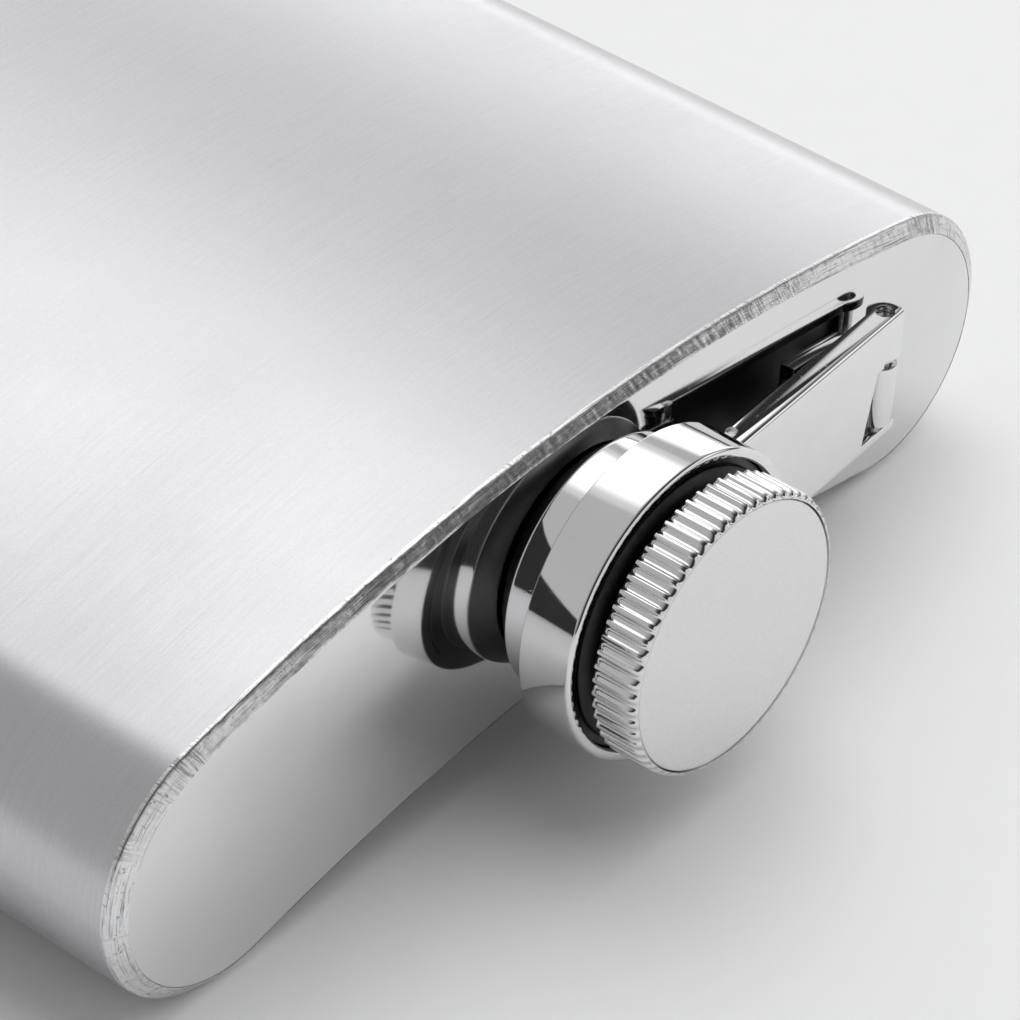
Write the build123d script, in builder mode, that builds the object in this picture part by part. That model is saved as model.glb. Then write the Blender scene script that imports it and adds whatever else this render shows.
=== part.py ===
"""Hip flask with a captive screw cap on a swinging arm. All sizes are in millimetres.

The flask lies on its hollow back: +Z is up and square to the crowned front, +X runs across
the width towards the arm's hinge, and -Y runs along the length, out of the mouth. The origin
is on the surface below the middle of the whole flask.
"""
from build123d import *
import math
import os

os.makedirs("parts", exist_ok=True)

# ---------------------------------------------------------------- body
flask_width = 94.4
body_length = 120.2       # outer face of the top plate to outer face of the base plate
edge_radius = 10.9       # round narrow sides
crown_height = 25.9       # top of the crowned front above the surface
hollow_height = 4.3       # top of the hollow back above the surface
wall = 0.7
seam_width = 1.0

# ---------------------------------------------------------------- end plates and their ground welds
plate_thickness = 0.9
bevel_face = 0.6          # ground weld, measured in from the crowned and hollow faces
bevel_side = 1.45         # and from the round sides
bevel_rise = 0.9
bevel_flat = 0.2          # part of the weld left level with the plate
weld_depth = 0.3          # straight part of the weld, below the bevel

# ---------------------------------------------------------------- neck, heights are above the top plate
neck_z = 14.8
neck_bore = 5.6
neck_radius = 6.2
neck_height = 8.4
neck_tail = 1.5           # reach of the tube inside the flask
neck_flange = 7.2
thread_rise = 0.45
thread_pitch = 2.0
thread_turns = 2.2
thread_start = 3.0
thread_lead_in = 40       # angle at which the thread starts, in degrees
rim_bevel = 0.2
braze_foot = 0.8          # reach of the braze over the plate and up the neck
braze_neck = 0.3

# ---------------------------------------------------------------- cap
cap_bottom = 2.2
cap_head = 10.3           # underside of the knurled head
cap_stack = 14.2          # outer face of the cap above the top plate
knurl_radius = 10.96
knurl_count = 60
groove_radius = 0.42
groove_centre = 11.1
face_radius = 10.4
face_thickness = 0.5
face_bevel = 0.15
roof_thickness = 0.6
roof_radius = 10.2
head_hollow = 10.0        # radius of the hollow inside the knurled head
skirt_radius = 8.95
groove_depth = 0.3        # groove near the skirt's mouth, with its split ring
groove_width = 0.7
groove_level = cap_bottom + groove_width
ring_radius = 9.3
ring_gap = 1.6
liner_radius = 8.4
liner_bore = 7.8
liner_top = 11.0
liner_bottom = cap_bottom + 0.2
liner_thread_start = 3.6
gasket_radius = 7.2
gasket_bottom = neck_height + 0.05
gasket_top = 9.5

# ---------------------------------------------------------------- collar
band_radius = 12.05
band_bore = 11.2
band_bottom = 4.85
band_top = 9.3
band_bevel = 0.15
lip_roll = 0.45           # rolled front lip of the band
lip_drop = 0.12
sleeve_radius = 10.0
sleeve_wall = 0.5
sleeve_lip = 8.4          # crimped mouth of the sleeve
flange_bore = 9.05        # running fit on the cap's skirt
flange_top = 5.4
flange_gap = 0.1
sleeve_foot = 0.2
crimp = 0.3
bush_top = 8.6
washer_outer = 10.6
washer_inner = 9.2
washer_sheet = 0.35
washer_gap = 0.2          # between the dished washer and the cap's head
lug_half = 4.0
lug_radius = 0.75
lug_reach = 6.0
lug_thickness = 1.2

# ---------------------------------------------------------------- arm and hinge
hinge_x = 32.1
hinge_z = 12.5
hinge_height = 1.9
arm_slope = math.radians(5.6)
arm_tilt = math.atan2(neck_z - hinge_z, hinge_x)
arm_width = 11.0
arm_sheet = 0.6
flange_sheet = 0.7
arm_face = 1.0            # outer face of the arm beyond the hinge pin's axis
arm_depth = 1.85
arm_heel = 1.2
ear_radius = 1.4
hinge_pin_radius = 0.7
running_gap = 0.05
bend_radius = 0.5
channel_length = 40.0     # cutter that hollows the channel, longer than the arm
channel_height = 10.0
slot_low = -1.4           # slot for the bracket's knuckle, measured across the arm
slot_high = 4.4
slot_near = 1.9           # and along it, at those two sides
slot_far = 3.3
slot_open = -5.0
collar_pin_radius = 0.45
collar_pin_reach = 19.6   # hinge pin to collar pin, along the arm
collar_pin_drop = 0.6
arm_end_radius = 12.35    # hollow end of the arm, round the neck's axis
knuckle_radius = 1.3
knuckle_low = -4.1        # ends of the bracket's knuckle along the pin
knuckle_high = 1.1
pin_inset = 0.2           # ends of the hinge pin inside the arm's two ears
pin_outset = 0.5
leaf_thickness = 0.7
leaf_reach = 9.0

# ---------------------------------------------------------------- worked out from the sizes above
half_length = (body_length + cap_stack) / 2
plate_y = cap_stack - half_length
base_y = half_length
weld_total = bevel_rise + weld_depth


def across(y):
    """Plane square to the flask's length, sketched in x and z, facing out of the mouth."""
    return Plane(origin=(0, y, 0), x_dir=(1, 0, 0), z_dir=(0, -1, 0))


def above(height):
    """Plane square to the neck's axis at a height above the top plate."""
    return Plane(origin=(0, plate_y - height, neck_z), x_dir=(1, 0, 0), z_dir=(0, -1, 0))


turning = Plane(origin=(0, plate_y, neck_z), x_dir=(1, 0, 0), z_dir=(0, 0, -1))
neck_axis = Axis((0, plate_y, neck_z), (0, -1, 0))

hinge_point = Vector(hinge_x, plate_y - hinge_height, hinge_z)
pin_dir = Vector(math.sin(arm_tilt), 0, math.cos(arm_tilt))
level_dir = Vector(-math.cos(arm_tilt), 0, math.sin(arm_tilt))
arm_dir = level_dir * math.cos(arm_slope) + Vector(0, -1, 0) * math.sin(arm_slope)
arm_plane = Plane(origin=hinge_point, x_dir=arm_dir, z_dir=pin_dir)
bracket_plane = Plane(origin=hinge_point, x_dir=level_dir, z_dir=pin_dir)
arm_out = arm_plane.y_dir


def kidney(inset, side_inset=None, mode=Mode.ADD):
    """Section of the body: crowned front, hollow back and round sides.

    The faces are moved in by the inset, and the sides by the side inset if it differs.
    """
    side_inset = inset if side_inset is None else side_inset
    side = edge_radius - (inset + side_inset) / 2
    side_x = flask_width / 2 - side_inset - side
    crest = crown_height - inset
    hollow = hollow_height + inset
    rise = crest - edge_radius
    dip = edge_radius - hollow
    front_radius = (side_x**2 + rise**2 - side**2) / (2 * (rise - side))
    back_radius = (side_x**2 + dip**2 - side**2) / (2 * (side - dip))
    side_centre = Vector(side_x, edge_radius)
    front = side_centre + (side_centre - Vector(0, crest - front_radius)).normalized() * side
    back = side_centre - (side_centre - Vector(0, hollow - back_radius)).normalized() * side
    with BuildLine() as outline:
        ThreePointArc((-front.X, front.Y), (0, crest), (front.X, front.Y))
        ThreePointArc((front.X, front.Y), (side_x + side, edge_radius), (back.X, back.Y))
        ThreePointArc((back.X, back.Y), (0, hollow), (-back.X, back.Y))
        ThreePointArc((-back.X, back.Y), (-side_x - side, edge_radius), (-front.X, front.Y))
    make_face(outline.edges(), mode=mode)


def turned(*points):
    """Ring or disc turned about the neck's axis from a profile of (radius, height) points."""
    with BuildSketch(turning) as profile:
        with BuildLine():
            Polyline(*points, close=True)
        make_face()
    revolve(profile.sketch, axis=neck_axis)


def thread(crest, root, start, turns):
    """Round-topped helical ridge about the neck's axis, from the root radius to the crest."""
    depth = crest - root
    path = Helix(thread_pitch, thread_pitch * turns, root, (0, plate_y - start, neck_z), (0, -1, 0))
    path = path.rotate(neck_axis, thread_lead_in)
    outward = (path @ 0) - Vector(0, plate_y - start, neck_z)
    section = Plane(origin=path @ 0, x_dir=outward * math.copysign(1, depth), z_dir=path % 0)
    with BuildSketch(section) as ridge:
        with BuildLine():
            Polyline((-0.15, -0.6), (abs(depth), -0.15), (abs(depth), 0.15), (-0.15, 0.6), close=True)
        make_face()
    sweep(ridge.sketch, path=path, is_frenet=True)


def weld_ring(face_y, outward):
    """Ground weld round an end plate; outward is 1 at the mouth end and -1 at the base."""
    start = across(face_y + outward * weld_total)
    knee = across(face_y + outward * bevel_rise)
    with BuildSketch(start) as foot:
        kidney(0)
    extrude(foot.sketch, amount=outward * weld_depth)
    with BuildSketch(knee) as wide:
        kidney(0)
    with BuildSketch(across(face_y)) as narrow:
        kidney(bevel_face - bevel_flat, bevel_side - bevel_flat)
    loft([wide.sketch, narrow.sketch], ruled=True)
    with BuildSketch(start) as opening:
        kidney(bevel_face, bevel_side)
    extrude(opening.sketch, amount=outward * weld_total, mode=Mode.SUBTRACT)


def end_plate(face_y, outward):
    """Flat plate inside its weld."""
    with BuildSketch(across(face_y)) as outline:
        kidney(bevel_face, bevel_side)
    extrude(outline.sketch, amount=-outward * plate_thickness)


# ================================================================ body
with BuildPart() as body_wrap:
    with BuildSketch(across(base_y - weld_total)):
        kidney(0)
        kidney(wall, mode=Mode.SUBTRACT)
        with Locations((-flask_width / 2, edge_radius)):
            Rectangle(4 * wall, seam_width, mode=Mode.SUBTRACT)
    extrude(amount=body_length - 2 * weld_total)

with BuildPart() as side_seam_weld:
    with BuildSketch(across(base_y - weld_total)):
        kidney(0)
        kidney(wall, mode=Mode.SUBTRACT)
        with Locations((-flask_width / 2, edge_radius)):
            Rectangle(4 * wall, seam_width, mode=Mode.INTERSECT)
    extrude(amount=body_length - 2 * weld_total)

with BuildPart() as top_weld_bead:
    weld_ring(plate_y, 1)

with BuildPart() as base_weld_bead:
    weld_ring(base_y, -1)

with BuildPart() as top_plate:
    end_plate(plate_y, 1)
    with BuildSketch(above(0)):
        Circle(neck_radius)
    extrude(amount=-plate_thickness, mode=Mode.SUBTRACT)

with BuildPart() as base_plate:
    end_plate(base_y, -1)

# ================================================================ neck
with BuildPart() as neck_tube:
    turned(
        (neck_bore, -neck_tail),
        (neck_flange, -neck_tail),
        (neck_flange, -plate_thickness),
        (neck_radius, -plate_thickness),
        (neck_radius, neck_height - rim_bevel),
        (neck_radius - rim_bevel, neck_height),
        (neck_bore, neck_height),
    )
    thread(neck_radius + thread_rise, neck_radius, thread_start, thread_turns)

with BuildPart() as neck_braze_ring:
    turned(
        (neck_radius, 0),
        (neck_radius + braze_foot, 0),
        (neck_radius + braze_neck, braze_neck),
        (neck_radius, braze_foot),
    )

# ================================================================ cap
with BuildPart() as cap_shell:
    with BuildSketch(above(cap_head)):
        Circle(knurl_radius)
        with PolarLocations(groove_centre, knurl_count):
            Circle(groove_radius, mode=Mode.SUBTRACT)
        Circle(liner_radius, mode=Mode.SUBTRACT)
    extrude(amount=cap_stack - cap_head)
    # hollow of the head, its roof and the recess for the face disc
    with BuildSketch(above(cap_head + roof_thickness)):
        Circle(head_hollow)
    extrude(amount=cap_stack - cap_head - roof_thickness, mode=Mode.SUBTRACT)
    with BuildSketch(above(cap_stack - face_thickness - roof_thickness)):
        Circle(roof_radius)
    extrude(amount=roof_thickness)
    with BuildSketch(above(cap_stack - face_thickness)):
        Circle(face_radius)
    extrude(amount=face_thickness, mode=Mode.SUBTRACT)
    turned(
        (liner_radius, cap_bottom),
        (skirt_radius, cap_bottom),
        (skirt_radius, groove_level),
        (skirt_radius - groove_depth, groove_level),
        (skirt_radius - groove_depth, groove_level + groove_width),
        (skirt_radius, groove_level + groove_width),
        (skirt_radius, cap_head + roof_thickness),
        (liner_radius, cap_head + roof_thickness),
    )

with BuildPart() as cap_face_disc:
    face_level = cap_stack - face_thickness
    turned(
        (0, face_level),
        (face_radius, face_level),
        (face_radius, cap_stack - face_bevel),
        (face_radius - face_bevel, cap_stack),
        (0, cap_stack),
    )

with BuildPart() as cap_liner:
    turned(
        (liner_bore, liner_bottom),
        (liner_radius, liner_bottom),
        (liner_radius, liner_top),
        (0, liner_top),
        (0, gasket_top),
        (liner_bore, gasket_top),
    )
    thread(liner_bore - thread_rise, liner_bore, liner_thread_start, thread_turns)

with BuildPart() as cap_gasket:
    turned((0, gasket_bottom), (gasket_radius, gasket_bottom), (gasket_radius, gasket_top), (0, gasket_top))

with BuildPart() as cap_retaining_ring:
    ring_bore = skirt_radius - groove_depth
    turned(
        (ring_bore, groove_level),
        (ring_radius, groove_level),
        (ring_radius, groove_level + groove_width),
        (ring_bore, groove_level + groove_width),
    )
    # gap of the split ring
    with BuildSketch(above(groove_level)):
        with Locations((-ring_radius, 0)):
            Rectangle(2 * ring_gap, ring_gap)
    extrude(amount=groove_width, mode=Mode.SUBTRACT)

# ================================================================ collar
with BuildPart() as collar_band:
    turned(
        (band_bore, band_bottom),
        (band_radius - band_bevel, band_bottom),
        (band_radius, band_bottom + band_bevel),
        (band_radius, band_top - lip_roll),
        (band_radius - band_bevel, band_top - lip_drop),
        (band_radius - lip_roll, band_top),
        (band_bore + band_bevel, band_top),
        (band_bore, band_top - band_bevel),
    )

with BuildPart() as collar_sleeve:
    bevel_top = sleeve_foot + sleeve_radius - sleeve_lip
    bore = sleeve_radius - sleeve_wall
    turned(
        (sleeve_lip, sleeve_foot),
        (sleeve_radius, bevel_top),
        (sleeve_radius, band_bottom - flange_gap),
        (band_bore, band_bottom - flange_gap),
        (band_bore, flange_top),
        (flange_bore, flange_top),
        (flange_bore, band_bottom),
        (bore, band_bottom),
        (bore, bevel_top + sleeve_foot),
        (sleeve_lip - crimp, 3 * sleeve_foot),
    )

with BuildPart() as collar_bush:
    turned((flange_bore, flange_top), (band_bore, flange_top), (band_bore, bush_top), (flange_bore, bush_top))

with BuildPart() as friction_washer:
    crown = cap_head - washer_gap
    turned(
        (washer_outer, bush_top),
        (washer_outer, bush_top + washer_sheet),
        (washer_inner, crown),
        (washer_inner, crown - washer_sheet),
    )

with BuildPart() as collar_lug:
    with BuildSketch(arm_plane.offset(-lug_half)):
        with Locations((collar_pin_reach, -collar_pin_drop)):
            Circle(lug_radius)
        with Locations((collar_pin_reach + lug_reach / 2, -collar_pin_drop)):
            Rectangle(lug_reach, lug_thickness)
        with Locations((collar_pin_reach, -collar_pin_drop)):
            Circle(collar_pin_radius + running_gap, mode=Mode.SUBTRACT)
    extrude(amount=2 * lug_half)
    with BuildSketch(above(0)):
        Circle(sleeve_radius)
    extrude(amount=band_bottom, mode=Mode.SUBTRACT)

# ================================================================ arm
with BuildPart() as arm_link:
    with BuildSketch(arm_plane):
        with BuildLine():
            Polyline(
                (-arm_heel, arm_face),
                (collar_pin_reach + 4, arm_face),
                (collar_pin_reach + 4, arm_face - arm_depth),
                (0, arm_face - arm_depth),
                (-arm_heel, 0),
                close=True,
            )
        make_face()
        Circle(ear_radius)
        with Locations((0, arm_face + ear_radius)):
            Rectangle(4 * ear_radius, 2 * ear_radius, mode=Mode.SUBTRACT)
    extrude(amount=arm_width / 2, both=True)
    bends = edges().filter_by(Axis(hinge_point, arm_dir)).group_by(Axis(hinge_point, arm_out))[-1]
    fillet(bends, radius=bend_radius)
    # hollow of the channel
    with BuildSketch(arm_plane):
        with Locations((channel_length / 4, arm_face - arm_sheet - channel_height / 2)):
            Rectangle(channel_length, channel_height)
    extrude(amount=arm_width / 2 - flange_sheet, both=True, mode=Mode.SUBTRACT)
    # slot that the bracket's knuckle stands in, open at the hinge end
    with BuildSketch(Plane(origin=hinge_point, x_dir=arm_dir, z_dir=arm_out)):
        with BuildLine():
            Polyline(
                (slot_open, slot_low),
                (slot_near, slot_low),
                (slot_far, slot_high),
                (slot_open, slot_high),
                close=True,
            )
        make_face()
    extrude(amount=3, both=True, mode=Mode.SUBTRACT)
    # pin holes and the hollow end round the collar
    with BuildSketch(arm_plane):
        Circle(hinge_pin_radius + running_gap)
        with Locations((collar_pin_reach, -collar_pin_drop)):
            Circle(collar_pin_radius)
    extrude(amount=arm_width, both=True, mode=Mode.SUBTRACT)
    with BuildSketch(above(0)):
        Circle(arm_end_radius)
    extrude(amount=band_top, mode=Mode.SUBTRACT)

with BuildPart() as collar_pin:
    with BuildSketch(arm_plane):
        with Locations((collar_pin_reach, -collar_pin_drop)):
            Circle(collar_pin_radius)
    extrude(amount=arm_width / 2, both=True)

# ================================================================ hinge bracket
foot_start = 3.0
foot_half = 4.2
plug_radius = 1.1
plug_places = [(7.0, -2.4), (7.0, 2.4)]
bracket_floor = Plane(
    origin=hinge_point + Vector(0, hinge_height, 0),
    x_dir=level_dir,
    z_dir=(0, -1, 0),
)

with BuildPart() as hinge_bracket:
    with BuildSketch(bracket_plane.offset(knuckle_low)):
        with BuildLine():
            Polyline(
                (-knuckle_radius, 0),
                (-knuckle_radius, -hinge_height),
                (leaf_reach, -hinge_height),
                (leaf_reach, leaf_thickness - hinge_height),
                (0, leaf_thickness - hinge_height),
                (0, 0),
                close=True,
            )
        make_face()
        Circle(knuckle_radius)
        Circle(hinge_pin_radius, mode=Mode.SUBTRACT)
    extrude(amount=knuckle_high - knuckle_low)
    with BuildSketch(bracket_plane):
        with Locations(((foot_start + leaf_reach) / 2, leaf_thickness / 2 - hinge_height)):
            Rectangle(leaf_reach - foot_start, leaf_thickness)
    extrude(amount=foot_half, both=True)
    with BuildSketch(bracket_floor):
        with Locations(*plug_places):
            Circle(plug_radius)
    extrude(amount=leaf_thickness, mode=Mode.SUBTRACT)

with BuildPart() as bracket_plug_welds:
    with BuildSketch(bracket_floor):
        with Locations(*plug_places):
            Circle(plug_radius)
    extrude(amount=leaf_thickness + 0.1)

with BuildPart() as hinge_pin:
    with BuildSketch(arm_plane.offset(pin_inset - arm_width / 2)):
        Circle(hinge_pin_radius)
    extrude(amount=arm_width - pin_inset - pin_outset)

# ================================================================ files
pieces = {
    "body_wrap": body_wrap,
    "side_seam_weld": side_seam_weld,
    "top_weld_bead": top_weld_bead,
    "base_weld_bead": base_weld_bead,
    "top_plate": top_plate,
    "base_plate": base_plate,
    "neck_tube": neck_tube,
    "neck_braze_ring": neck_braze_ring,
    "hinge_bracket": hinge_bracket,
    "bracket_plug_welds": bracket_plug_welds,
    "hinge_pin": hinge_pin,
    "arm_link": arm_link,
    "collar_pin": collar_pin,
    "collar_lug": collar_lug,
    "collar_band": collar_band,
    "collar_sleeve": collar_sleeve,
    "collar_bush": collar_bush,
    "friction_washer": friction_washer,
    "cap_shell": cap_shell,
    "cap_face_disc": cap_face_disc,
    "cap_liner": cap_liner,
    "cap_gasket": cap_gasket,
    "cap_retaining_ring": cap_retaining_ring,
}
for name, piece in pieces.items():
    piece.part.label = name
    export_step(piece.part, f"parts/{name}.step")
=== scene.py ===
"""Looks of the hip flask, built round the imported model. Metres, in the model's own frame."""
import math

import bmesh
import bpy
import numpy as np
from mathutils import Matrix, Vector, noise


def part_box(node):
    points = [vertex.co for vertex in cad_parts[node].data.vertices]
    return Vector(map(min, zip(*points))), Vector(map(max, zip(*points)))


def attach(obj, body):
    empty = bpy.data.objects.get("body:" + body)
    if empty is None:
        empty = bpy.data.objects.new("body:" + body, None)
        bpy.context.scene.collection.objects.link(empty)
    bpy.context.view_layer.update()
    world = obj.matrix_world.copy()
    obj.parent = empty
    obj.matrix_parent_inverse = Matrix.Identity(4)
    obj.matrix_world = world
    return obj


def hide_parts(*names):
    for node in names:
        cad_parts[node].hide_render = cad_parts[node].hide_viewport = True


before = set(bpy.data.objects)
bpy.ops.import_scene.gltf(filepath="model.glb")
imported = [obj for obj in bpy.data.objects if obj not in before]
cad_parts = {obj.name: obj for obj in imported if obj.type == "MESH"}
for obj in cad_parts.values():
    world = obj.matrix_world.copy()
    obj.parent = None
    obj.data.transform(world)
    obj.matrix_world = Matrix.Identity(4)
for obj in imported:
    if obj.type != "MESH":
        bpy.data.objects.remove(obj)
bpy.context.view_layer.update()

MM = 0.001

# ---------------------------------------------------------------- places read from the model
plate_low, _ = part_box("top_plate")
_, base_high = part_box("base_plate")
_, weld_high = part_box("top_weld_bead")
wrap_low, wrap_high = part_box("body_wrap")
band_low, band_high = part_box("collar_band")

PLATE_Y = plate_low.y
BASE_Y = base_high.y
NECK = Vector(((band_low.x + band_high.x) / 2, PLATE_Y, (band_low.z + band_high.z) / 2))

# section of the body
HALF_WIDTH = weld_high.x
CROWN = weld_high.z
EDGE = 10.9 * MM
HOLLOW = 4.3 * MM
WALL = 0.7 * MM
SEAM = 1.0 * MM
# ground welds, end plates
BEVEL_FACE = 0.6 * MM
BEVEL_SIDE = 1.45 * MM
WELD_RISE = 0.9 * MM
PLATE_DEPTH = 0.9 * MM
RIPPLES = [(0.035, 1400), (0.05, 420), (0.03, 3200)]   # heights in millimetres and how closely they repeat

# radii about the neck's axis and heights above the top plate, in millimetres
NECK_RADIUS, NECK_BORE, NECK_TOP = 6.2, 5.6, 8.4
NECK_TAIL, NECK_FLANGE = -1.5, 7.2
THREAD_RISE, THREAD_PITCH, THREAD_TURNS, THREAD_LEAD = 0.45, 2.0, 2.2, math.radians(40)
NECK_THREAD, LINER_THREAD = 3.0, 3.6
LINER_RADIUS, LINER_BORE, LINER_BOTTOM, LINER_TOP = 8.4, 7.8, 2.4, 11.0
GASKET_RADIUS, GASKET_BOTTOM, GASKET_TOP = 7.2, 8.45, 9.5
BAND_RADIUS, BAND_BORE, BAND_BOTTOM, BAND_TOP = 12.05, 11.2, 4.85, 9.3
SLEEVE_RADIUS, SLEEVE_BORE, SLEEVE_LIP = 10.0, 9.5, 8.4
FLANGE_BORE, FLANGE_BOTTOM, FLANGE_TOP, BUSH_TOP = 9.05, 4.75, 5.4, 8.6
WASHER_OUTER, WASHER_INNER, WASHER_SHEET = 10.6, 9.2, 0.35
SKIRT_RADIUS, SKIRT_GROOVE, SKIRT_BOTTOM = 8.95, 8.65, 2.2
KNURL_RADIUS, HEAD_BOTTOM, FACE_LEVEL, STACK = 10.96, 10.3, 13.7, 14.2
HEAD_HOLLOW, HEAD_FLOOR, HEAD_ROOF = 10.0, 10.9, 13.1
KNURLS, GROOVE_RADIUS, GROOVE_OFFSET = 60, 0.42, 0.14


# ================================================================ mesh helpers
def new_piece(name, verts, faces, smooth_angle=35):
    """Mesh object from points and faces, shaded smooth except at sharp edges."""
    mesh = bpy.data.meshes.new(name)
    mesh.from_pydata([tuple(v) for v in verts], [], faces)
    mesh.validate()
    return finish_mesh(name, mesh, smooth_angle)


def finish_mesh(name, mesh, smooth_angle):
    """Links the mesh as an object, with outward faces, and marks its sharp edges."""
    bm = bmesh.new()
    bm.from_mesh(mesh)
    bmesh.ops.recalc_face_normals(bm, faces=bm.faces)
    limit = math.radians(smooth_angle)
    for face in bm.faces:
        face.smooth = True
    for edge in bm.edges:
        edge.smooth = not (len(edge.link_faces) == 2 and edge.calc_face_angle() > limit)
    bm.to_mesh(mesh)
    bm.free()
    piece = bpy.data.objects.new(name, mesh)
    bpy.context.scene.collection.objects.link(piece)
    return piece


def woven(name, rows, close_rows=True, close_columns=True, smooth_angle=35):
    """Quads woven between rows of points, as on a ring or a tube."""
    count = len(rows[0])
    verts = [p for row in rows for p in row]
    faces = []
    for i in range(len(rows) if close_rows else len(rows) - 1):
        k = (i + 1) % len(rows)
        for j in range(count if close_columns else count - 1):
            m = (j + 1) % count
            faces.append((i * count + j, i * count + m, k * count + m, k * count + j))
    return new_piece(name, verts, faces, smooth_angle)


def rounded(points, radius, steps=4):
    """Closed profile with its corners rounded; radius is one number or one for each corner."""
    out = []
    n = len(points)
    for i, p in enumerate(points):
        r = radius[i] if hasattr(radius, "__len__") else radius
        p, a, b = Vector(p), Vector(points[i - 1]), Vector(points[(i + 1) % n])
        if r <= 0:
            out.append(p)
            continue
        r = min(r, 0.45 * (a - p).length, 0.45 * (b - p).length)
        start, end = p + (a - p).normalized() * r, p + (b - p).normalized() * r
        for s in range(steps + 1):
            t = s / steps
            out.append(start * (1 - t)**2 + p * 2 * t * (1 - t) + end * t**2)
    return out


def lathe(name, profile, segments=256, shape=None, smooth_angle=35):
    """Ring turned about the neck's axis from a closed (radius, height) profile in millimetres.

    shape(radius, height, angle) may return another radius, for a knurl or a thread.
    """
    rows = []
    for s in range(segments):
        angle = 2 * math.pi * s / segments
        row = []
        for radius, height in profile:
            r = shape(radius, height, angle) if shape else radius
            row.append((
                NECK.x + r * MM * math.cos(angle),
                PLATE_Y - height * MM,
                NECK.z + r * MM * math.sin(angle),
            ))
        rows.append(row)
    return woven(name, rows, smooth_angle=smooth_angle)


def capped_lathe(name, profile, segments=256, shape=None, smooth_angle=35):
    """Solid disc turned about the neck's axis; the profile's first and last points lie on the axis."""
    verts, faces = [], []
    inner = profile[1:-1]
    for s in range(segments):
        angle = 2 * math.pi * s / segments
        for radius, height in inner:
            r = shape(radius, height, angle) if shape else radius
            verts.append((
                NECK.x + r * MM * math.cos(angle),
                PLATE_Y - height * MM,
                NECK.z + r * MM * math.sin(angle),
            ))
    count = len(inner)
    first, last = len(verts), len(verts) + 1
    verts.append((NECK.x, PLATE_Y - profile[0][1] * MM, NECK.z))
    verts.append((NECK.x, PLATE_Y - profile[-1][1] * MM, NECK.z))
    for s in range(segments):
        t = (s + 1) % segments
        for j in range(count - 1):
            faces.append((s * count + j, t * count + j, t * count + j + 1, s * count + j + 1))
        faces.append((first, t * count, s * count))
        faces.append((last, s * count + count - 1, t * count + count - 1))
    return new_piece(name, verts, faces, smooth_angle)


def levels(low, high, step):
    """Heights from low to high, both included."""
    count = max(1, round((high - low) / step))
    return [low + (high - low) * i / count for i in range(count + 1)]


def kidney(inset=0.0, side_inset=None, front=180, side=56, back=160, seam=0.0):
    """Points round the body's section, as (x, z, outward x, outward z), moved in by the insets.

    It starts and ends at the middle of the left side, leaving half the seam's width at each end.
    """
    side_inset = inset if side_inset is None else side_inset
    radius = EDGE - (inset + side_inset) / 2
    side_x = HALF_WIDTH - side_inset - radius
    rise, dip = CROWN - inset - EDGE, EDGE - HOLLOW - inset
    front_r = (side_x**2 + rise**2 - radius**2) / (2 * (rise - radius))
    back_r = (side_x**2 + dip**2 - radius**2) / (2 * (radius - dip))
    front_z, back_z = CROWN - inset - front_r, HOLLOW + inset - back_r
    a = math.atan2(EDGE - front_z, side_x)
    b = math.atan2(EDGE - back_z, side_x)
    gap = math.asin(seam / 2 / radius)
    points = []
    for cx, cz, r, a0, a1, steps, sign in (
        (-side_x, EDGE, radius, math.pi - gap, math.pi - a, side // 2, 1),
        (0, front_z, front_r, math.pi - a, a, front, 1),
        (side_x, EDGE, radius, a, b - math.pi, side, 1),
        (0, back_z, back_r, b, math.pi - b, back, -1),
        (-side_x, EDGE, radius, 2 * math.pi - b, math.pi + gap, side // 2, 1),
    ):
        for i in range(steps):
            t = a0 + (a1 - a0) * i / steps
            u, w = math.cos(t), math.sin(t)
            points.append((cx + r * u, cz + r * w, sign * u, sign * w))
    if seam:
        u, w = math.cos(math.pi + gap), math.sin(math.pi + gap)
        points.append((-side_x + radius * u, EDGE + radius * w, u, w))
    return points


def refined(node, name, bevel, segments=3):
    """Copy of a CAD node's shape with clean faces and every hard edge rounded."""
    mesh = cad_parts[node].data.copy()
    mesh.materials.clear()
    bm = bmesh.new()
    bm.from_mesh(mesh)
    bmesh.ops.remove_doubles(bm, verts=bm.verts, dist=0.002 * MM)
    bmesh.ops.dissolve_limit(bm, angle_limit=math.radians(1.0), verts=bm.verts, edges=bm.edges)
    hard = [e for e in bm.edges if len(e.link_faces) == 2 and e.calc_face_angle() > math.radians(32)]
    bmesh.ops.bevel(bm, geom=hard, offset=bevel * MM, segments=segments, profile=0.5,
                    affect="EDGES", clamp_overlap=True)
    bmesh.ops.remove_doubles(bm, verts=bm.verts, dist=0.001 * MM)
    bmesh.ops.triangulate(bm, faces=[f for f in bm.faces if len(f.verts) > 4])
    bm.to_mesh(mesh)
    bm.free()
    return finish_mesh(name, mesh, 40)


def place(piece, body, slot, material, *nodes):
    """Puts the piece on its body, gives it its material, and hides the nodes it stands for; slot is not used."""
    piece.data.materials.clear()
    piece.data.materials.append(material)
    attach(piece, body)
    if nodes:
        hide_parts(*nodes)
    return piece


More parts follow.
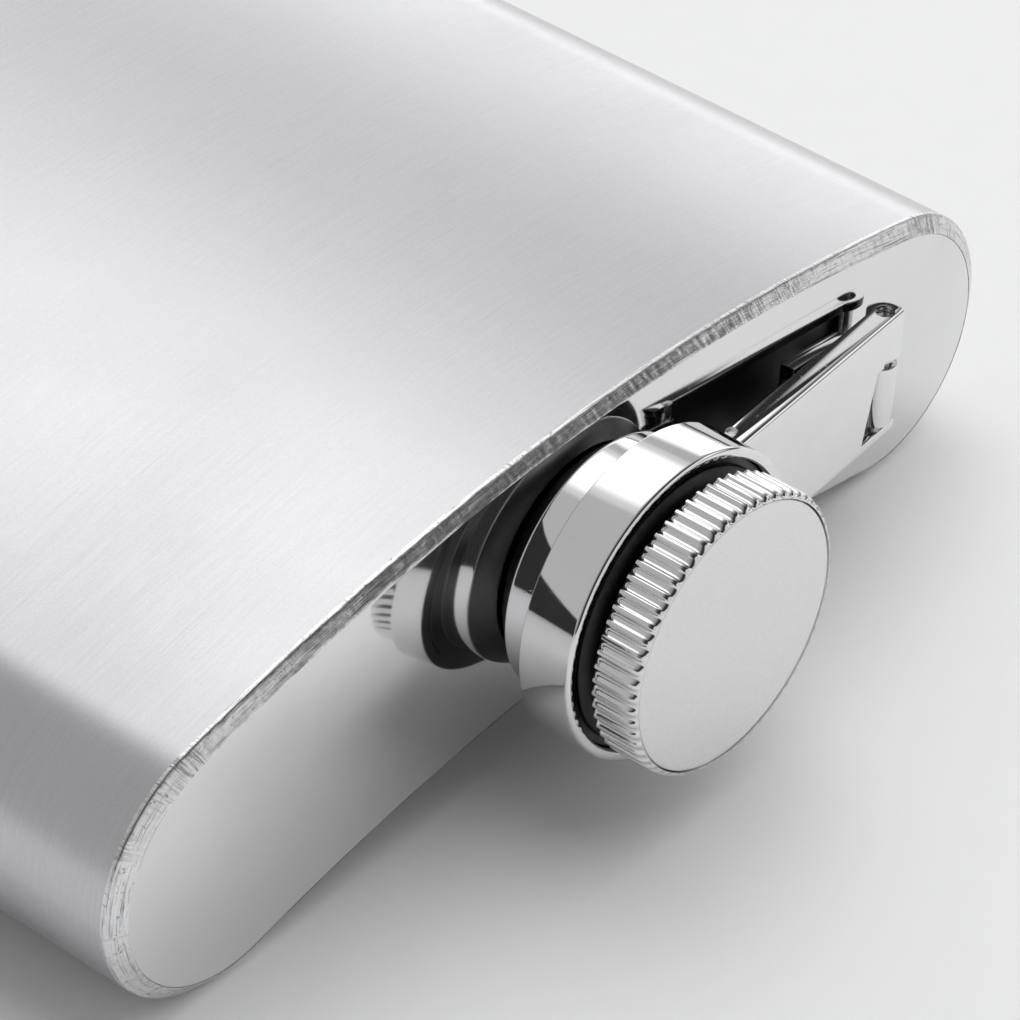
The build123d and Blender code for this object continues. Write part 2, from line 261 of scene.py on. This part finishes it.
# ================================================================ materials
class Shader:
    """Small builder for a procedural Principled material."""

    def __init__(self, name, color, roughness, metallic=1.0):
        self.material = bpy.data.materials.new(name)
        self.material.use_nodes = True
        self.tree = self.material.node_tree
        self.bsdf = self.tree.nodes["Principled BSDF"]
        self.bsdf.inputs["Base Color"].default_value = (*color, 1)
        self.bsdf.inputs["Roughness"].default_value = roughness
        self.bsdf.inputs["Metallic"].default_value = metallic
        self.coords = self.tree.nodes.new("ShaderNodeTexCoord")
        self.normal = None

    def node(self, kind, **values):
        made = self.tree.nodes.new(kind)
        for key, value in values.items():
            if key in made.inputs:
                made.inputs[key].default_value = value
            else:
                setattr(made, key, value)
        return made

    def link(self, a, b):
        self.tree.links.new(a, b)

    def place_at(self, scale, offset=(0, 0, 0)):
        mapping = self.node("ShaderNodeMapping")
        mapping.inputs["Scale"].default_value = scale
        mapping.inputs["Location"].default_value = offset
        self.link(self.coords.outputs["Object"], mapping.inputs["Vector"])
        return mapping.outputs["Vector"]

    def noise(self, scale, detail=3.0, rough=0.55, stretch=(1, 1, 1), offset=(0, 0, 0)):
        made = self.node("ShaderNodeTexNoise", Scale=scale, Detail=detail, Roughness=rough)
        self.link(self.place_at(stretch, offset), made.inputs["Vector"])
        return made.outputs["Fac"]

    def ramp(self, value, low, high, out_low, out_high):
        made = self.node("ShaderNodeMapRange")
        made.inputs["From Min"].default_value = low
        made.inputs["From Max"].default_value = high
        made.inputs["To Min"].default_value = out_low
        made.inputs["To Max"].default_value = out_high
        self.link(value, made.inputs["Value"])
        return made.outputs["Result"]

    def math(self, operation, a, b):
        made = self.node("ShaderNodeMath", operation=operation)
        for socket, value in zip(made.inputs, (a, b)):
            if isinstance(value, (int, float)):
                socket.default_value = value
            else:
                self.link(value, socket)
        return made.outputs["Value"]

    def tint(self, factor, dark, light):
        mix = self.node("ShaderNodeMix", data_type="RGBA")
        mix.inputs[6].default_value = (*dark, 1)
        mix.inputs[7].default_value = (*light, 1)
        self.link(factor, mix.inputs[0])
        self.link(mix.outputs[2], self.bsdf.inputs["Base Color"])

    def roughness(self, value):
        self.link(value, self.bsdf.inputs["Roughness"])

    def bump(self, height, strength, distance):
        made = self.node("ShaderNodeBump", Strength=strength, Distance=distance)
        self.link(height, made.inputs["Height"])
        if self.normal is not None:
            self.link(self.normal, made.inputs["Normal"])
        self.normal = made.outputs["Normal"]
        self.link(self.normal, self.bsdf.inputs["Normal"])


def brushed_steel(name, dark, light):
    """Body: fine brushing round the section, with faint broad clouding."""
    s = Shader(name, light, 0.34)
    fine = s.noise(1.0, 3.0, 0.6, stretch=(250, 9000, 250))
    medium = s.noise(1.0, 3.0, 0.6, stretch=(80, 3600, 80), offset=(3, 1, 2))
    grain = s.noise(5200.0, 1.0, offset=(1, 2, 3))
    broad = s.noise(45.0, 2.0)
    lines = s.math("ADD", s.math("MULTIPLY", fine, 0.6), s.math("MULTIPLY", medium, 0.4))
    mottle = s.math("ADD", s.math("MULTIPLY", lines, 0.7), s.math("MULTIPLY", grain, 0.3))
    s.tint(s.ramp(mottle, 0.35, 0.65, 0, 1), dark, light)
    s.roughness(s.math("ADD", s.ramp(lines, 0.3, 0.7, 0.28, 0.38), s.ramp(broad, 0.3, 0.7, -0.02, 0.03)))
    s.bump(lines, 0.25, 0.00003)
    s.bsdf.inputs["Anisotropic"].default_value = 0.6
    s.bsdf.inputs["Anisotropic Rotation"].default_value = 0.25
    tangent = s.node("ShaderNodeTangent", direction_type="RADIAL", axis="Y")
    s.link(tangent.outputs["Tangent"], s.bsdf.inputs["Tangent"])
    return s.material


def mirror_steel():
    """End plates and bracket: polished, with faint swirl marks and a slow waviness."""
    s = Shader("polished_plate", (0.88, 0.88, 0.885), 0.06)
    haze = s.noise(90.0, 4.0)
    scratches = s.noise(1.0, 5.0, 0.7, stretch=(3500, 300, 900))
    s.roughness(s.math("ADD", s.ramp(haze, 0.3, 0.75, 0.04, 0.09), s.ramp(scratches, 0.62, 0.8, 0, 0.08)))
    s.tint(s.ramp(haze, 0.25, 0.75, 0, 1), (0.76, 0.76, 0.765), (0.82, 0.82, 0.825))
    s.bump(s.noise(55.0, 1.0), 0.25, 0.00006)
    return s.material


def weld_steel():
    """Ground weld: short scratches across the bead, long ones along it, and a few dark pits."""
    s = Shader("weld_metal", (0.8, 0.8, 0.81), 0.3)
    place_along = s.node("ShaderNodeAttribute", attribute_name="along").outputs["Vector"]

    def streaks(stretch, detail=3.0, rough=0.6):
        mapping = s.node("ShaderNodeMapping")
        mapping.inputs["Scale"].default_value = stretch
        s.link(place_along, mapping.inputs["Vector"])
        made = s.node("ShaderNodeTexNoise", Scale=1.0, Detail=detail, Roughness=rough)
        s.link(mapping.outputs["Vector"], made.inputs["Vector"])
        return made.outputs["Fac"]

    across = streaks((6500, 500, 500), 4.0, 0.7)
    lengthwise = streaks((220, 7500, 7500), 4.0, 0.7)
    pits = s.noise(2600.0, 4.0, 0.75)
    broad = streaks((120, 120, 120), 2.0)
    marks = s.math("MULTIPLY", s.ramp(across, 0.38, 0.52, 0.75, 0), s.ramp(broad, 0.46, 0.6, 0, 1))
    lines = s.math("MULTIPLY", s.ramp(lengthwise, 0.36, 0.48, 0.8, 0), s.ramp(broad, 0.42, 0.6, 1, 0.35))
    dirt = s.math("MAXIMUM", s.math("MAXIMUM", marks, lines), s.ramp(pits, 0.32, 0.42, 0.85, 0))
    s.tint(dirt, (0.84, 0.84, 0.85), (0.15, 0.15, 0.155))
    s.roughness(s.math("ADD", s.ramp(lengthwise, 0.3, 0.7, 0.16, 0.34), s.math("MULTIPLY", dirt, 0.25)))
    s.bump(lengthwise, 0.45, 0.00004)
    s.bump(across, 0.3, 0.00004)
    return s.material


def chrome(name, color, low, high, wave=0.12):
    """Bright plating with smudges and a few pits; faces turned to the top plate are made rougher and given painted
    shade, darkened nearly to black.
    """
    s = Shader(name, color, low)
    smudge = s.noise(220.0, 4.0, 0.6)
    pits = s.noise(1900.0, 2.0, 0.5)
    # Faces turned toward +Y, to the top plate, get extra roughness and painted shade.
    split = s.node("ShaderNodeSeparateXYZ")
    s.link(s.coords.outputs["Normal"], split.inputs[0])
    dull_and_painted_shade = s.ramp(split.outputs["Y"], 0.25, 0.6, 0, 1)
    worn = s.math("ADD", s.ramp(smudge, 0.3, 0.75, low, high), s.ramp(pits, 0.7, 0.8, 0, 0.2))
    s.roughness(s.math("ADD", worn, s.math("MULTIPLY", dull_and_painted_shade, 0.3)))
    clean = s.ramp(smudge, 0.2, 0.7, 0.93, 1)
    # Painted shade: the tint darkens faces turned to the top plate nearly to black.
    s.tint(s.math("SUBTRACT", clean, s.math("MULTIPLY", dull_and_painted_shade, 0.92)), (0.08, 0.08, 0.08), color)
    s.bump(s.noise(160.0, 1.0), wave, 0.00004)
    s.bump(s.ramp(pits, 0.7, 0.78, 1, 0), 0.15, 0.00003)
    return s.material


def machined(name, color, roughness):
    """Turned or drawn steel with fine rings and a little tarnish."""
    s = Shader(name, color, roughness)
    rings = s.noise(1.0, 4.0, 0.6, stretch=(400, 6000, 400))
    tarnish = s.noise(700.0, 3.0)
    s.tint(s.ramp(tarnish, 0.3, 0.7, 0, 1), tuple(c * 0.8 for c in color), color)
    s.roughness(s.ramp(rings, 0.3, 0.7, roughness * 0.8, roughness * 1.3))
    s.bump(rings, 0.3, 0.00003)
    return s.material


def satin_steel():
    """Cap face: very fine satin, almost without direction."""
    s = Shader("satin_face", (0.82, 0.82, 0.825), 0.42)
    grain = s.noise(5200.0, 2.0, 0.6)
    cloud = s.noise(120.0, 3.0)
    s.tint(s.ramp(grain, 0.3, 0.7, 0, 1), (0.79, 0.79, 0.795), (0.85, 0.85, 0.855))
    s.roughness(s.math("ADD", s.ramp(grain, 0.3, 0.7, 0.36, 0.46), s.ramp(cloud, 0.3, 0.7, -0.02, 0.02)))
    s.bump(grain, 0.12, 0.00002)
    return s.material


def dark_plastic(name, color, roughness):
    """Moulded plastic or rubber with a fine grain."""
    s = Shader(name, color, roughness, metallic=0.0)
    grain = s.noise(2600.0, 2.0)
    dark, light = tuple(c * 0.8 for c in color), tuple(min(1, c * 1.25) for c in color)
    s.tint(s.ramp(grain, 0.3, 0.7, 0, 1), dark, light)
    s.roughness(s.ramp(grain, 0.3, 0.7, roughness * 0.85, roughness * 1.2))
    s.bump(grain, 0.2, 0.00003)
    return s.material


BRUSHED = brushed_steel("brushed_body", (0.59, 0.59, 0.605), (0.67, 0.67, 0.685))
SEAMED = brushed_steel("ground_seam", (0.57, 0.57, 0.585), (0.65, 0.65, 0.665))
MIRROR = mirror_steel()
WELD = weld_steel()
CHROME = chrome("bright_chrome", (0.84, 0.84, 0.845), 0.035, 0.09)
KNURL = chrome("knurled_chrome", (0.82, 0.82, 0.825), 0.1, 0.18, 0.2)
TURNED = machined("turned_steel", (0.72, 0.72, 0.73), 0.25)
SATIN = satin_steel()
# Friction washer coloured nearly black as painted shade for the dark gap between cap and collar.
DARK = machined("washer_painted_shade", (0.05, 0.05, 0.052), 0.4)
BLACK = dark_plastic("black_plastic", (0.012, 0.012, 0.012), 0.35)
SILICONE = dark_plastic("seal_rubber", (0.72, 0.71, 0.67), 0.5)


# ================================================================ body
def body_shell():
    """Sheet wrap, open by the seam's width along the left side."""
    start, end = wrap_low.y, wrap_high.y
    lengths = [start, start + 0.05 * MM]
    lengths += [start + (end - start) * i / 48 for i in range(1, 48)]
    lengths += [end - 0.05 * MM, end]
    outer, inner = kidney(seam=SEAM), kidney(WALL, seam=SEAM)
    rows = [[(x, y, z) for y in lengths] + [(u, y, w) for y in reversed(lengths)]
            for (x, z, _, _), (u, w, _, _) in zip(outer, inner)]
    verts = [p for row in rows for p in row]
    count, last = len(rows[0]), (len(rows) - 1) * len(rows[0])
    faces = [
        (i * count + j, i * count + (j + 1) % count, (i + 1) * count + (j + 1) % count, (i + 1) * count + j)
        for i in range(len(rows) - 1) for j in range(count)
    ]
    half = count // 2
    for j in range(half - 1):
        faces.append((j, j + 1, count - 2 - j, count - 1 - j))
        faces.append((last + j, last + count - 1 - j, last + count - 2 - j, last + j + 1))
    return new_piece("body_shell", verts, faces)


def seam_strip():
    """Butt weld that closes the wrap, ground flush with it."""
    steps = 6
    rows = []
    for y in levels(wrap_low.y, wrap_high.y, 2.5 * MM):
        row = []
        for r in (EDGE, EDGE - WALL):
            gap = math.asin(SEAM / 2 / r)
            for i in range(steps + 1):
                t = math.pi + gap * (2 * i / steps - 1) * (1 if r == EDGE else -1)
                row.append((-HALF_WIDTH + EDGE + r * math.cos(t), y, EDGE + r * math.sin(t)))
        rows.append(row)
    verts = [p for row in rows for p in row]
    count, last = len(rows[0]), (len(rows) - 1) * len(rows[0])
    faces = [
        (i * count + j, i * count + (j + 1) % count, (i + 1) * count + (j + 1) % count, (i + 1) * count + j)
        for i in range(len(rows) - 1) for j in range(count)
    ]
    faces += [tuple(range(count)), tuple(range(last + count - 1, last - 1, -1))]
    return new_piece("side_seam", verts, faces)


def weld_ring(name, face_y, inward, seed):
    """Ground weld bead: a bevel round the plate, rippled along its length and worn unevenly."""
    section = [(0, 1.33), (0, 1.12), (0.01, 1.0), (0.06, 0.9), (0.22, 0.74), (0.4, 0.57), (0.58, 0.4),
               (0.76, 0.22), (0.9, 0.06), (1, 0.0), (1, 0.45), (1, 0.9), (1, 1.33), (0.5, 1.33)]
    section = [(share, depth * WELD_RISE) for share, depth in section]
    lift = [0, 0, 0.3, 0.6, 1, 1, 1, 1, 0.6, 0, 0, 0, 0, 0]
    fine = dict(front=640, side=210, back=600)
    outlines = [kidney(share * BEVEL_FACE, share * BEVEL_SIDE, **fine) for share, _ in section]
    rows, along, run = [], [], 0.0
    for i in range(len(outlines[0])):
        row = []
        for k, (o, depth) in enumerate(section):
            x, z, nx, nz = outlines[k][i]
            p = Vector((x, z, seed))
            ripple = sum(height * noise.noise(p * pace) for height, pace in RIPPLES)
            pull = ripple * lift[k] * MM
            x += nx * pull * 0.5
            z += nz * pull * 0.5
            y = face_y + inward * (depth - min(pull, 0.9 * depth))
            row.append((x, y, z))
        if rows:
            run += (Vector(row[0]) - Vector(rows[-1][0])).length
        along += [(run, share * BEVEL_SIDE, depth) for share, depth in section]
        rows.append(row)
    ring = woven(name, rows, smooth_angle=60)
    layer = ring.data.attributes.new("along", "FLOAT_VECTOR", "POINT")
    layer.data.foreach_set("vector", np.array(along, np.float32).ravel())
    return ring


def flat_plate(name, face_y, inward, hole):
    """End plate with a softened rim, and the neck's hole if it has one."""
    soft = 0.06 * MM
    steps = [(soft * 2, 0.0), (soft * 0.6, soft * 0.4), (0, soft * 1.5), (0, PLATE_DEPTH)]
    rows = [
        [(x, face_y + inward * d, z) for x, z, _, _ in kidney(BEVEL_FACE + o, BEVEL_SIDE + o)]
        for o, d in steps
    ]
    count = len(rows[0])
    verts = [p for row in rows for p in row]
    faces = []
    for i in range(len(rows) - 1):
        for j in range(count):
            m = (j + 1) % count
            faces.append((i * count + j, i * count + m, (i + 1) * count + m, (i + 1) * count + j))
    bm = bmesh.new()
    points = [bm.verts.new(v) for v in verts]
    for f in faces:
        bm.faces.new([points[i] for i in f])
    bottom = len(verts) - count
    loops = [points[:count], points[bottom:]]
    for loop, y in ((loops[0], face_y), (loops[1], face_y + inward * PLATE_DEPTH)):
        rim = [bm.edges.get((loop[i], loop[(i + 1) % count])) for i in range(count)]
        if hole:
            ring = [
                bm.verts.new((NECK.x + hole * math.cos(a), y, NECK.z + hole * math.sin(a)))
                for a in (2 * math.pi * i / 96 for i in range(96))
            ]
            loop.append(ring)
            rim += [bm.edges.new((ring[i], ring[(i + 1) % 96])) for i in range(96)]
        bmesh.ops.triangle_fill(bm, edges=rim, use_beauty=True, normal=(0, -1, 0))
    if hole:
        a, b = loops[0][-1], loops[1][-1]
        for i in range(96):
            k = (i + 1) % 96
            bm.faces.new((a[i], a[k], b[k], b[i]))
    mesh = bpy.data.meshes.new(name)
    bm.to_mesh(mesh)
    bm.free()
    return finish_mesh(name, mesh, 35)


place(body_shell(), "flask", "brushed_body", BRUSHED, "body_wrap")
place(seam_strip(), "flask", "weld_metal", SEAMED, "side_seam_weld")
place(weld_ring("top_weld", PLATE_Y, 1, 0.37), "flask", "weld_metal", WELD, "top_weld_bead")
place(weld_ring("base_weld", BASE_Y, -1, 0.91), "flask", "weld_metal", WELD, "base_weld_bead")
place(flat_plate("top_mirror_plate", PLATE_Y, 1, NECK_RADIUS * MM), "flask", "polished_plate", MIRROR, "top_plate")
place(flat_plate("base_mirror_plate", BASE_Y, -1, 0), "flask", "polished_plate", MIRROR, "base_plate")


# ================================================================ collar
def collar_band():
    """Bright outer ring with a rolled front lip."""
    profile = rounded(
        [(BAND_BORE, BAND_BOTTOM), (BAND_RADIUS, BAND_BOTTOM), (BAND_RADIUS, BAND_TOP), (BAND_BORE, BAND_TOP)],
        [0.05, 0.12, 0.42, 0.22], steps=8,
    )
    return lathe("collar_ring", profile, 320)


def collar_sleeve():
    """Lower sleeve with its crimped mouth and the flange inside the band."""
    profile = rounded(
        [(SLEEVE_LIP, 0.2), (SLEEVE_RADIUS, 1.8), (SLEEVE_RADIUS, FLANGE_BOTTOM),
         (BAND_BORE - 0.05, FLANGE_BOTTOM), (BAND_BORE - 0.05, FLANGE_TOP), (FLANGE_BORE, FLANGE_TOP),
         (FLANGE_BORE, BAND_BOTTOM), (SLEEVE_BORE, BAND_BOTTOM), (SLEEVE_BORE, 2.0), (SLEEVE_LIP - 0.3, 0.6)],
        [0.12, 0.25, 0.12, 0.05, 0.05, 0.05, 0.05, 0.05, 0.2, 0.1], steps=5,
    )
    return lathe("collar_sleeve_shell", profile, 320)


place(collar_band(), "collar", "bright_chrome", CHROME, "collar_band")
place(collar_sleeve(), "collar", "bright_chrome", CHROME, "collar_sleeve")
bush_radius = BAND_BORE - 0.03
bush = rounded(
    [(FLANGE_BORE, FLANGE_TOP), (bush_radius, FLANGE_TOP), (bush_radius, BUSH_TOP), (FLANGE_BORE, BUSH_TOP)], 0.12)
place(lathe("collar_bush_ring", bush, 192), "collar", "black_plastic", BLACK, "collar_bush")
washer_top = HEAD_BOTTOM - 0.2
washer = rounded(
    [(WASHER_OUTER, BUSH_TOP), (WASHER_OUTER, BUSH_TOP + WASHER_SHEET),
     (WASHER_INNER, washer_top), (WASHER_INNER, washer_top - WASHER_SHEET)], 0.12)
# The washer's near-black colour is painted shade for the gap under the cap.
place(lathe("friction_washer_ring", washer, 256), "collar", "turned_steel", DARK, "friction_washer")
place(refined("collar_lug", "collar_lug_block", 0.15), "collar", "bright_chrome", CHROME, "collar_lug")


# ================================================================ cap
def knurled(radius, height, angle):
    """Depth of the knurl: rounded ridges with narrow grooves, chamfered at both ends."""
    smooth = 10.5
    if radius < smooth:
        return radius
    pitch = 2 * math.pi * KNURL_RADIUS / KNURLS
    along = abs((angle * KNURLS / (2 * math.pi)) % 1 - 0.5) * pitch
    groove = math.sqrt(max(0.0, GROOVE_RADIUS**2 - along**2)) - GROOVE_OFFSET
    return radius - max(0.0, groove) * min(1.0, (radius - smooth) / 0.4)


def cap_shell():
    """Knurled head, roof and skirt in one turned shell."""
    outline = [
        (LINER_RADIUS, SKIRT_BOTTOM), (SKIRT_RADIUS, SKIRT_BOTTOM), (SKIRT_RADIUS, 2.9), (SKIRT_GROOVE, 2.9),
        (SKIRT_GROOVE, 3.6), (SKIRT_RADIUS, 3.6), (SKIRT_RADIUS, HEAD_BOTTOM),
        (10.66, HEAD_BOTTOM), (KNURL_RADIUS, 10.5), (KNURL_RADIUS, 10.9), (KNURL_RADIUS, 12.0),
        (KNURL_RADIUS, 13.5), (10.9, 13.85), (10.66, 14.15), (10.46, STACK), (10.4, FACE_LEVEL),
        (9.9, FACE_LEVEL), (LINER_RADIUS, FACE_LEVEL), (LINER_RADIUS, HEAD_ROOF), (HEAD_HOLLOW, HEAD_ROOF),
        (HEAD_HOLLOW, HEAD_FLOOR), (LINER_RADIUS, HEAD_FLOOR),
    ]
    return lathe("cap_knurled_shell", outline, KNURLS * 16, knurled, smooth_angle=50)


place(cap_shell(), "cap", "knurled_chrome", KNURL, "cap_shell")
face = [(0, FACE_LEVEL), (10.38, FACE_LEVEL), (10.38, 14.02), (10.3, 14.14), (10.15, 14.19),
        (9.9, STACK), (5, STACK), (0, STACK)]
place(capped_lathe("cap_face", face, 256), "cap", "satin_face", SATIN, "cap_face_disc")
split_ring = refined("cap_retaining_ring", "retaining_ring", 0.1)
place(split_ring, "cap", "turned_steel", TURNED, "cap_retaining_ring")
gasket = rounded(
    [(0, GASKET_BOTTOM), (GASKET_RADIUS, GASKET_BOTTOM), (GASKET_RADIUS, GASKET_TOP), (0, GASKET_TOP)],
    [0, 0.2, 0.05, 0], 4)
place(capped_lathe("gasket_disc", gasket, 128), "cap", "seal_rubber", SILICONE, "cap_gasket")


def ridge(height, angle, start):
    """Share of a thread's full depth at a point, 0 between the ridges and 1 on the crest."""
    fade = 0.12
    best = 0.0
    for k in range(-1, 5):
        turn = k + ((angle - THREAD_LEAD) % (2 * math.pi)) / (2 * math.pi)
        run = min(turn / fade, (THREAD_TURNS - turn) / fade, 1.0)
        if run <= 0:
            continue
        off = abs(height - (start + THREAD_PITCH * turn))
        best = max(best, run * min(1.0, max(0.0, (0.6 - off) / 0.4)))
    return best


def neck():
    """Threaded neck tube with its flange inside the flask and a rounded rim."""
    flange_top = -PLATE_DEPTH / MM
    profile = [
        (NECK_BORE, NECK_TAIL), (NECK_FLANGE, NECK_TAIL), (NECK_FLANGE, flange_top), (NECK_RADIUS, flange_top),
    ]
    profile += [(NECK_RADIUS, h) for h in levels(0.0, 8.1, 0.1)]
    profile += [(6.16, 8.25), (6.05, 8.36), (5.9, NECK_TOP), (5.72, NECK_TOP), (5.63, 8.35), (NECK_BORE, 8.2)]

    def threaded(radius, height, angle):
        if abs(radius - NECK_RADIUS) < 1e-6:
            return radius + THREAD_RISE * ridge(height, angle, NECK_THREAD)
        return radius

    return lathe("threaded_neck", profile, 192, threaded, 50)


def liner():
    """Threaded plastic insert of the cap."""
    profile = [(0, GASKET_TOP)]
    profile += [(LINER_BORE - 1e-3 * (h > 9.4), h) for h in levels(GASKET_TOP, LINER_BOTTOM, 0.1)]
    profile += [(LINER_RADIUS, LINER_BOTTOM), (LINER_RADIUS, LINER_TOP), (0, LINER_TOP)]

    def threaded(radius, height, angle):
        if abs(radius - LINER_BORE) < 1e-6:
            return radius - THREAD_RISE * ridge(height, angle, LINER_THREAD)
        return radius

    return capped_lathe("liner_insert", profile, 160, threaded, 50)


place(neck(), "flask", "turned_steel", TURNED, "neck_tube")
place(liner(), "cap", "black_plastic", BLACK, "cap_liner")
braze = rounded(
    [(NECK_RADIUS, 0), (NECK_RADIUS + 0.8, 0), (NECK_RADIUS + 0.3, 0.3), (NECK_RADIUS, 0.8)], [0, 0.05, 0.2, 0.05])
place(lathe("neck_braze", braze, 128), "flask", "weld_metal", WELD, "neck_braze_ring")

# ================================================================ arm and hinge
place(refined("arm_link", "swing_arm", 0.12), "arm", "bright_chrome", CHROME, "arm_link")
place(refined("collar_pin", "collar_pin_rod", 0.08), "arm", "turned_steel", TURNED, "collar_pin")
place(refined("hinge_pin", "hinge_pin_rod", 0.1), "flask", "turned_steel", TURNED, "hinge_pin")
place(refined("hinge_bracket", "hinge_leaf", 0.1), "flask", "polished_plate", MIRROR, "hinge_bracket")
place(refined("bracket_plug_welds", "plug_welds", 0.06), "flask", "weld_metal", WELD, "bracket_plug_welds")


# ================================================================ floor, light and camera
FLOOR_HALF = 3.0
SOFTBOX = Vector((0.36, 0.47, 0.80)).normalized()
BRIGHTEST = 1.95
# cosine of the angle from the middle of the softbox, and the light from there
SOFTBOX_LIGHT = [(0.60, 0.0), (0.80, 0.20), (0.88, 0.42), (0.925, 0.75), (0.965, 1.4), (1.0, BRIGHTEST)]
ROOM_FRONT = 0.035
ROOM_BACK = 0.5
FRONT_LIGHT = 0.7
WALL_LIGHT = 1.8
PANEL_LIGHT = 1.0
LAMP_POWER = 5.0
LAMP_SIZE = 1.3
LAMP_PLACE = Vector((0.40, -0.12, 0.68))


def floor():
    """Plain pale paper under the flask."""
    size = FLOOR_HALF
    mesh = bpy.data.meshes.new("floor")
    mesh.from_pydata([(-size, -size, 0), (size, -size, 0), (size, size, 0), (-size, size, 0)], [], [(0, 1, 2, 3)])
    paper = bpy.data.objects.new("floor", mesh)
    bpy.context.scene.collection.objects.link(paper)
    paper.location.z = -0.02 * MM
    s = Shader("floor_paper", (0.92, 0.922, 0.925), 0.6, metallic=0.0)
    s.tint(s.ramp(s.noise(300.0, 3.0), 0.3, 0.7, 0, 1), (0.915, 0.917, 0.92), (0.925, 0.927, 0.93))
    paper.data.materials.append(s.material)


def room():
    """Light from the room by direction: a softbox overhead, and pale walls with a dark gap in front."""
    world = bpy.data.worlds.new("tent")
    bpy.context.scene.world = world
    world.use_nodes = True
    tree = world.node_tree
    coords = tree.nodes.new("ShaderNodeTexCoord")
    split = tree.nodes.new("ShaderNodeSeparateXYZ")
    tree.links.new(coords.outputs["Generated"], split.inputs[0])
    x, y, z = (split.outputs[axis] for axis in "XYZ")

    def step(value, low, high, out_low, out_high):
        made = tree.nodes.new("ShaderNodeMapRange")
        made.interpolation_type = "SMOOTHSTEP"
        made.inputs["From Min"].default_value = low
        made.inputs["From Max"].default_value = high
        made.inputs["To Min"].default_value = out_low
        made.inputs["To Max"].default_value = out_high
        tree.links.new(value, made.inputs["Value"])
        return made.outputs["Result"]

    def combine(operation, first, *others):
        for other in others:
            made = tree.nodes.new("ShaderNodeMath")
            made.operation = operation
            for socket, value in zip(made.inputs, (first, other)):
                if isinstance(value, (int, float)):
                    socket.default_value = value
                else:
                    tree.links.new(value, socket)
            first = made.outputs["Value"]
        return first

    toward = tree.nodes.new("ShaderNodeVectorMath")
    toward.operation = "DOT_PRODUCT"
    toward.inputs[1].default_value = SOFTBOX
    tree.links.new(coords.outputs["Generated"], toward.inputs[0])
    ramp = tree.nodes.new("ShaderNodeValToRGB")
    ramp.color_ramp.interpolation = "EASE"
    while len(ramp.color_ramp.elements) < len(SOFTBOX_LIGHT):
        ramp.color_ramp.elements.new(0.5)
    for element, (at, level) in zip(ramp.color_ramp.elements, SOFTBOX_LIGHT):
        element.position = at
        element.color = (level / BRIGHTEST, level / BRIGHTEST, level / BRIGHTEST, 1)
    tree.links.new(toward.outputs["Value"], ramp.inputs["Fac"])
    softbox = combine("MULTIPLY", ramp.outputs["Color"], BRIGHTEST)

    walls = step(y, -0.3, 0.4, ROOM_FRONT, ROOM_BACK)
    far_front = step(y, -0.80, -0.66, FRONT_LIGHT, 0.0)
    right_wall = combine(
        "MULTIPLY",
        step(z, 0.28, 0.5, WALL_LIGHT, 0.0), step(x, 0.2, 0.7, 0.0, 1.0), step(y, 0.0, 0.4, 0.0, 1.0))
    front_panel = combine(
        "MULTIPLY",
        step(x, 0.2, 0.5, 0.0, 1.0), step(y, -0.2, 0.0, 1.0, 0.0),
        step(z, 0.05, 0.25, 0.0, PANEL_LIGHT), step(z, 0.46, 0.56, 1.0, 0.0))
    light = combine("MAXIMUM", softbox, walls, far_front, right_wall, front_panel)
    background = tree.nodes["Background"]
    background.inputs["Color"].default_value = (0.995, 0.998, 1.0, 1)
    tree.links.new(light, background.inputs["Strength"])


def overhead_lamp():
    """Broad lamp over the right side, which lights the floor and stays out of the metal's reflections."""
    lamp = bpy.data.lights.new("overhead", "AREA")
    lamp.shape = "DISK"
    lamp.size = LAMP_SIZE
    lamp.energy = LAMP_POWER
    overhead = bpy.data.objects.new("overhead", lamp)
    bpy.context.scene.collection.objects.link(overhead)
    overhead.location = LAMP_PLACE
    overhead.rotation_euler = (-LAMP_PLACE).to_track_quat("-Z", "Y").to_euler()
    overhead.visible_glossy = False


def camera():
    """Long lens from the front left, high enough to look down on the crowned face and the mouth."""
    data = bpy.data.cameras.new("camera")
    data.lens = 193.44
    data.clip_start = 0.01
    cam = bpy.data.objects.new("camera", data)
    bpy.context.scene.collection.objects.link(cam)
    cam.location = (-226.50 * MM, -241.91 * MM, 262.15 * MM)
    aim = Vector((-15.34 * MM, -59.91 * MM, 31.79 * MM))
    cam.rotation_euler = (aim - cam.location).to_track_quat("-Z", "Y").to_euler()
    bpy.context.scene.camera = cam


floor()
room()
overhead_lamp()
camera()
bpy.context.scene.view_settings.view_transform = "Standard"
